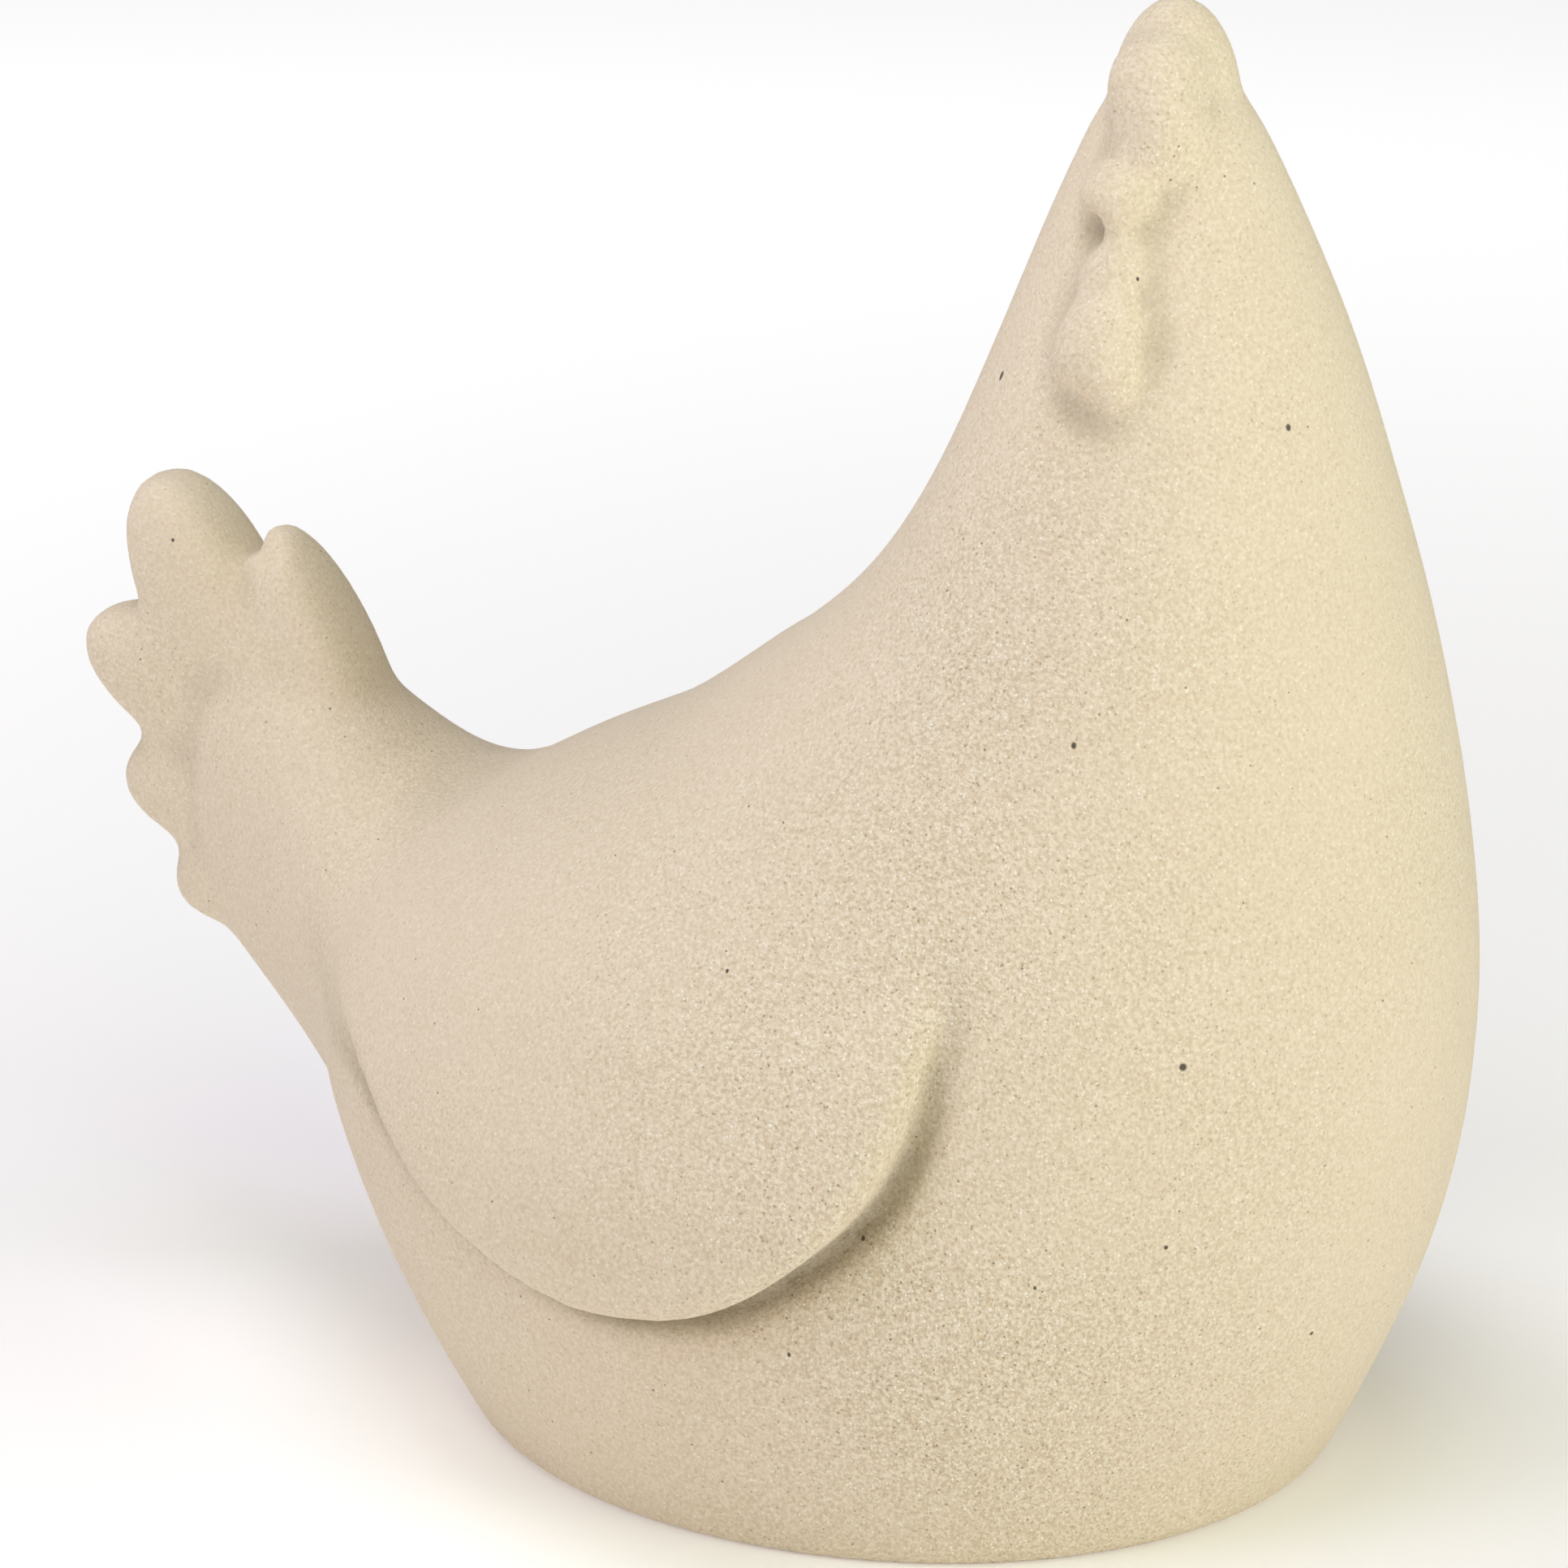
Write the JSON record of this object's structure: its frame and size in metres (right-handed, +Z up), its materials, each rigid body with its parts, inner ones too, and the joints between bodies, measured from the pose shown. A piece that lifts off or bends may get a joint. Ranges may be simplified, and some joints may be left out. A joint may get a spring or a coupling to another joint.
{
  "type": "hen figurine",
  "caption": "Hollow sandy stoneware hen that stands on a flat foot, with folded wings, a fanned tail and the head turned to its right side.",
  "frame": {"origin": "middle of the flat foot, on the ground", "axes": "+X towards the chest, -X towards the tail, +Z up, and the turned head faces -Y"},
  "size_m": [0.1613, 0.1091, 0.1549],
  "materials": {
    "stoneware": "matt sandy glaze"
  },
  "bodies": {
    "root": {"hen": "stoneware"}
  },
  "joints": []
}
